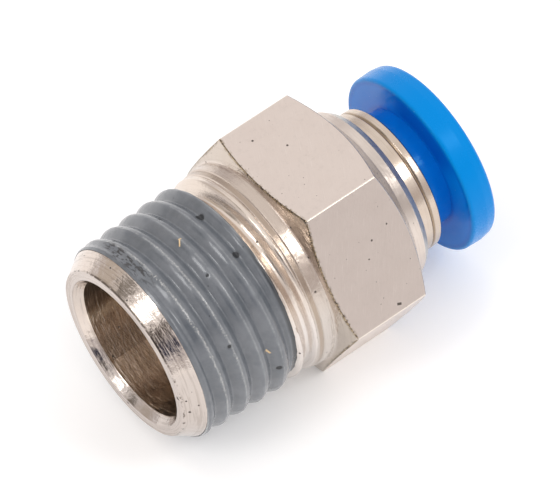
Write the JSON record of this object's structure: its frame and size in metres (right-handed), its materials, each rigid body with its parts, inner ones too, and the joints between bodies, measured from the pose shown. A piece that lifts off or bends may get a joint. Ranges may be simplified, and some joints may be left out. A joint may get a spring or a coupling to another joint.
{
  "type": "push to connect fitting",
  "caption": "Straight male push to connect fitting: hexagonal nickel-plated body, sealant-coated taper thread, and a blue release ring that opens the claw to free the tube.",
  "frame": {"origin": "middle of the overall length, on the fitting's axis", "axes": "+X along the axis from the thread's mouth to the release ring; +Z is the outward normal of one hexagon flat; +Y completes the right-handed frame and points at a hexagon corner"},
  "size_m": [0.0228, 0.0162, 0.014],
  "materials": {
    "nickel_plate": "nickel plated over machined brass, fine turning and brushing marks",
    "nickel_plate_bright": "nickel plated over turned brass, brighter than the body",
    "thread_sealant": "semi-gloss baked sealant coat, grey",
    "nitrile_rubber": "matt black moulded rubber",
    "white_acetal": "off-white moulded plastic",
    "spring_steel": "stamped stainless spring steel",
    "blue_acetal": "soft-gloss moulded plastic, blue"
  },
  "bodies": {
    "fitting_body": {"body": "nickel_plate", "thread_sealant": "thread_sealant", "tube_seal": "nitrile_rubber", "back_ring": "white_acetal", "guide_ring": "nickel_plate_bright"},
    "claw": {"claw_ring": "spring_steel"},
    "release": {"release_ring": "blue_acetal"},
    "tooth_1": {"claw_tooth_1": "spring_steel"},
    "tooth_2": {"claw_tooth_2": "spring_steel"},
    "tooth_3": {"claw_tooth_3": "spring_steel"},
    "tooth_4": {"claw_tooth_4": "spring_steel"},
    "tooth_5": {"claw_tooth_5": "spring_steel"},
    "tooth_6": {"claw_tooth_6": "spring_steel"},
    "tooth_7": {"claw_tooth_7": "spring_steel"},
    "tooth_8": {"claw_tooth_8": "spring_steel"}
  },
  "joints": [
    {"name": "claw_spin", "type": "hinge", "parent": "fitting_body", "child": "claw", "pos_m": [0.00298, 0, 0], "axis": [1, 0, 0], "continuous": true},
    {"name": "release_slide", "type": "slide", "parent": "claw", "child": "release", "axis": [-1, 0, 0], "range_m": [0, 0.0013], "stiffness_N_per_m": 3000},
    {"name": "tooth_1_flex", "type": "hinge", "parent": "claw", "child": "tooth_1", "pos_m": [0.00298, 0.00375, 0], "axis": [0, 0, -1], "range_deg": [0, 31]},
    {"name": "tooth_2_flex", "type": "hinge", "parent": "claw", "child": "tooth_2", "pos_m": [0.00298, 0.00265, 0.00265], "axis": [0, 0.7071, -0.7071], "range_deg": [0, 31]},
    {"name": "tooth_3_flex", "type": "hinge", "parent": "claw", "child": "tooth_3", "pos_m": [0.00298, 0, 0.00375], "axis": [0, 1, 0], "range_deg": [0, 31]},
    {"name": "tooth_4_flex", "type": "hinge", "parent": "claw", "child": "tooth_4", "pos_m": [0.00298, -0.00265, 0.00265], "axis": [0, 0.7071, 0.7071], "range_deg": [0, 31]},
    {"name": "tooth_5_flex", "type": "hinge", "parent": "claw", "child": "tooth_5", "pos_m": [0.00298, -0.00375, 0], "axis": [0, 0, 1], "range_deg": [0, 31]},
    {"name": "tooth_6_flex", "type": "hinge", "parent": "claw", "child": "tooth_6", "pos_m": [0.00298, -0.00265, -0.00265], "axis": [0, -0.7071, 0.7071], "range_deg": [0, 31]},
    {"name": "tooth_7_flex", "type": "hinge", "parent": "claw", "child": "tooth_7", "pos_m": [0.00298, 0, -0.00375], "axis": [0, -1, 0], "range_deg": [0, 31]},
    {"name": "tooth_8_flex", "type": "hinge", "parent": "claw", "child": "tooth_8", "pos_m": [0.00298, 0.00265, -0.00265], "axis": [0, -0.7071, -0.7071], "range_deg": [0, 31]}
  ],
  "couplings": [
    {"joint": "tooth_1_flex", "follows": "release_slide", "rad_per_m": 402},
    {"joint": "tooth_2_flex", "follows": "release_slide", "rad_per_m": 402},
    {"joint": "tooth_3_flex", "follows": "release_slide", "rad_per_m": 402},
    {"joint": "tooth_4_flex", "follows": "release_slide", "rad_per_m": 402},
    {"joint": "tooth_5_flex", "follows": "release_slide", "rad_per_m": 402},
    {"joint": "tooth_6_flex", "follows": "release_slide", "rad_per_m": 402},
    {"joint": "tooth_7_flex", "follows": "release_slide", "rad_per_m": 402},
    {"joint": "tooth_8_flex", "follows": "release_slide", "rad_per_m": 402}
  ]
}
